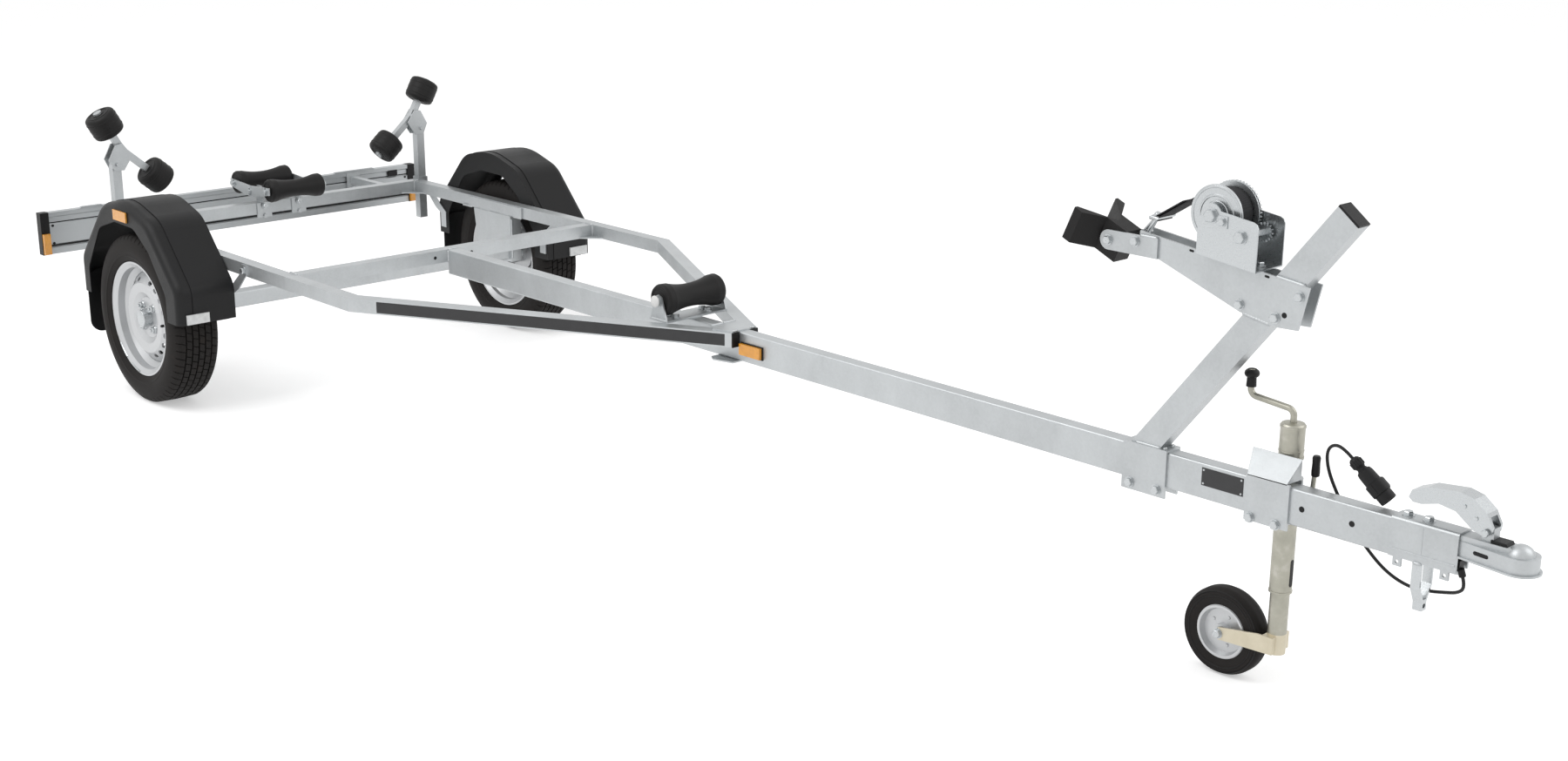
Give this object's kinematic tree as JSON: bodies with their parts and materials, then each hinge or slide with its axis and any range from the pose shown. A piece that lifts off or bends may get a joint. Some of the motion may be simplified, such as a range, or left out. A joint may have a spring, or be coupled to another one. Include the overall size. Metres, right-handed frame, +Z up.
{
  "type": "boat trailer",
  "caption": "Single-axle boat trailer with V-nose frame, torsion axle, keel and side rollers, winch post, jockey wheel, ball coupling and light board.",
  "frame": {"origin": "on the ground under the middle of the trailer's length, on its centre plane", "axes": "+X forward to the coupling, +Y to the trailer's left, +Z up"},
  "size_m": [5.036, 1.576, 1.0947],
  "materials": {
    "galvanised": "hot-dip galvanised",
    "zinc_steel": "passivated zinc",
    "wheel_paint": "silver paint",
    "tyre": "matte",
    "black_rubber": "matte",
    "black_plastic": "grained",
    "aluminium": "extruded",
    "amber_lens": "gloss",
    "white_lens": "gloss",
    "red_lens": "gloss",
    "webbing": "woven",
    "cable": "matte"
  },
  "bodies": {
    "frame": {"drawbar": "galvanised", "side_rails": "galvanised", "crossmembers": "galvanised", "gusset_plates": "galvanised", "axle_beam": "galvanised", "axle_hangers": "galvanised", "axle_arms": "galvanised", "fender_stays": "galvanised", "side_posts": "galvanised", "roller_brackets": "galvanised", "board_arms": "galvanised", "winch_post": "galvanised", "winch_arm": "galvanised", "stop_brackets": "galvanised", "winch_frame": "galvanised", "strap_hook": "galvanised", "coupling_body": "galvanised", "safety_loop": "galvanised", "jockey_clamp": "zinc_steel", "bow_stop": "black_rubber", "fenders": "black_plastic", "mudflaps": "black_plastic", "end_caps": "black_plastic", "cord_gland": "black_plastic", "plug": "black_plastic", "light_board": "aluminium", "amber_markers": "amber_lens", "front_reflectors": "white_lens", "rear_lamps": "red_lens", "strap": "webbing", "cord": "cable"},
    "wheel_left": {"tyre_left": "tyre", "rim_left": "wheel_paint", "hub_left": "wheel_paint"},
    "wheel_right": {"tyre_right": "tyre", "rim_right": "wheel_paint", "hub_right": "wheel_paint"},
    "rocker_left": {"rocker_left": "galvanised"},
    "rocker_right": {"rocker_right": "galvanised"},
    "side_roller_upper_left": {"side_roller_upper_left": "black_rubber"},
    "side_roller_lower_left": {"side_roller_lower_left": "black_rubber"},
    "side_roller_upper_right": {"side_roller_upper_right": "black_rubber"},
    "side_roller_lower_right": {"side_roller_lower_right": "black_rubber"},
    "keel_swing": {"keel_swing": "galvanised"},
    "keel_roller_front": {"keel_roller_front": "black_rubber"},
    "keel_roller_rear": {"keel_roller_rear": "black_rubber"},
    "nose_roller": {"nose_roller": "black_rubber"},
    "winch_drum": {"winch_drum": "galvanised", "strap_coil": "webbing"},
    "winch_crank": {"winch_crank": "galvanised"},
    "crank_grip": {"crank_grip": "black_plastic"},
    "coupling_handle": {"coupling_handle": "zinc_steel"},
    "clamp_lever": {"clamp_lever": "zinc_steel"},
    "jockey_outer": {"jockey_outer": "zinc_steel"},
    "jockey_crank": {"jockey_crank": "zinc_steel"},
    "jockey_knob": {"jockey_knob": "black_plastic"},
    "jockey_inner": {"jockey_inner": "zinc_steel"},
    "jockey_fork": {"jockey_fork": "zinc_steel"},
    "jockey_wheel": {"jockey_tyre": "tyre", "jockey_rim": "wheel_paint"}
  },
  "joints": [
    {"name": "wheel_left_spin", "type": "hinge", "parent": "frame", "child": "wheel_left", "pos_m": [-1.7205, 0.695, 0.27], "axis": [0, 1, 0], "continuous": true},
    {"name": "rocker_left_pivot", "type": "hinge", "parent": "frame", "child": "rocker_left", "pos_m": [-2.1755, 0.589, 0.684], "axis": [1, 0, 0], "range_deg": [-18, 18]},
    {"name": "side_roller_upper_left_spin", "type": "hinge", "parent": "rocker_left", "child": "side_roller_upper_left", "pos_m": [-2.1755, 0.612, 0.818], "axis": [0, 0.4856, 0.8742], "continuous": true},
    {"name": "side_roller_lower_left_spin", "type": "hinge", "parent": "rocker_left", "child": "side_roller_lower_left", "pos_m": [-2.1755, 0.449, 0.63], "axis": [0, -0.7555, -0.6552], "continuous": true},
    {"name": "wheel_right_spin", "type": "hinge", "parent": "frame", "child": "wheel_right", "pos_m": [-1.7205, -0.695, 0.27], "axis": [0, 1, 0], "continuous": true},
    {"name": "rocker_right_pivot", "type": "hinge", "parent": "frame", "child": "rocker_right", "pos_m": [-2.1755, -0.589, 0.684], "axis": [1, 0, 0], "range_deg": [-18, 18]},
    {"name": "side_roller_upper_right_spin", "type": "hinge", "parent": "rocker_right", "child": "side_roller_upper_right", "pos_m": [-2.1755, -0.612, 0.818], "axis": [0, -0.4856, 0.8742], "continuous": true},
    {"name": "side_roller_lower_right_spin", "type": "hinge", "parent": "rocker_right", "child": "side_roller_lower_right", "pos_m": [-2.1755, -0.449, 0.63], "axis": [0, 0.7555, -0.6552], "continuous": true},
    {"name": "keel_swing_pivot", "type": "hinge", "parent": "frame", "child": "keel_swing", "pos_m": [-2.1705, 0, 0.532], "axis": [0, 1, 0], "range_deg": [-10, 10]},
    {"name": "keel_roller_front_spin", "type": "hinge", "parent": "keel_swing", "child": "keel_roller_front", "pos_m": [-2.0585, 0, 0.547], "axis": [0, 1, 0], "continuous": true},
    {"name": "keel_roller_rear_spin", "type": "hinge", "parent": "keel_swing", "child": "keel_roller_rear", "pos_m": [-2.2825, 0, 0.547], "axis": [0, 1, 0], "continuous": true},
    {"name": "nose_roller_spin", "type": "hinge", "parent": "frame", "child": "nose_roller", "pos_m": [0.0545, 0, 0.547], "axis": [0, 1, 0], "continuous": true},
    {"name": "winch_drum_spin", "type": "hinge", "parent": "frame", "child": "winch_drum", "pos_m": [1.7625, 0, 1.03], "axis": [0, 1, 0], "continuous": true},
    {"name": "winch_crank_spin", "type": "hinge", "parent": "frame", "child": "winch_crank", "pos_m": [1.83614, 0, 0.99566], "axis": [0, 1, 0], "continuous": true},
    {"name": "crank_grip_spin", "type": "hinge", "parent": "winch_crank", "child": "crank_grip", "pos_m": [1.81958, 0, 0.80639], "axis": [0, 1, 0], "continuous": true},
    {"name": "coupling_handle_lift", "type": "hinge", "parent": "frame", "child": "coupling_handle", "pos_m": [2.4075, 0, 0.51], "axis": [0, 1, 0], "range_deg": [0, 40]},
    {"name": "clamp_lever_turn", "type": "hinge", "parent": "frame", "child": "clamp_lever", "pos_m": [1.9295, 0.051, 0.455], "axis": [1, 0, 0], "range_deg": [-100, 20]},
    {"name": "jockey_outer_slide", "type": "slide", "parent": "frame", "child": "jockey_outer", "axis": [0, 0, 1], "range_m": [0, 0.085]},
    {"name": "jockey_crank_spin", "type": "hinge", "parent": "jockey_outer", "child": "jockey_crank", "pos_m": [1.9295, 0.051, 0.6], "axis": [0, 0, 1], "continuous": true},
    {"name": "jockey_knob_spin", "type": "hinge", "parent": "jockey_crank", "child": "jockey_knob", "pos_m": [1.8215, 0.051, 0.67], "axis": [0, 0, 1], "continuous": true},
    {"name": "jockey_inner_slide", "type": "slide", "parent": "jockey_outer", "child": "jockey_inner", "axis": [0, 0, 1], "range_m": [-0.15, 0.05]},
    {"name": "jockey_fork_swivel", "type": "hinge", "parent": "jockey_inner", "child": "jockey_fork", "pos_m": [1.9295, 0.051, 0.12], "axis": [0, 0, 1], "continuous": true},
    {"name": "jockey_wheel_spin", "type": "hinge", "parent": "jockey_fork", "child": "jockey_wheel", "pos_m": [1.8025, 0.051, 0.1], "axis": [0, 1, 0], "continuous": true}
  ],
  "couplings": [
    {"joint": "winch_crank_spin", "follows": "winch_drum_spin", "ratio": -3.3333}
  ]
}
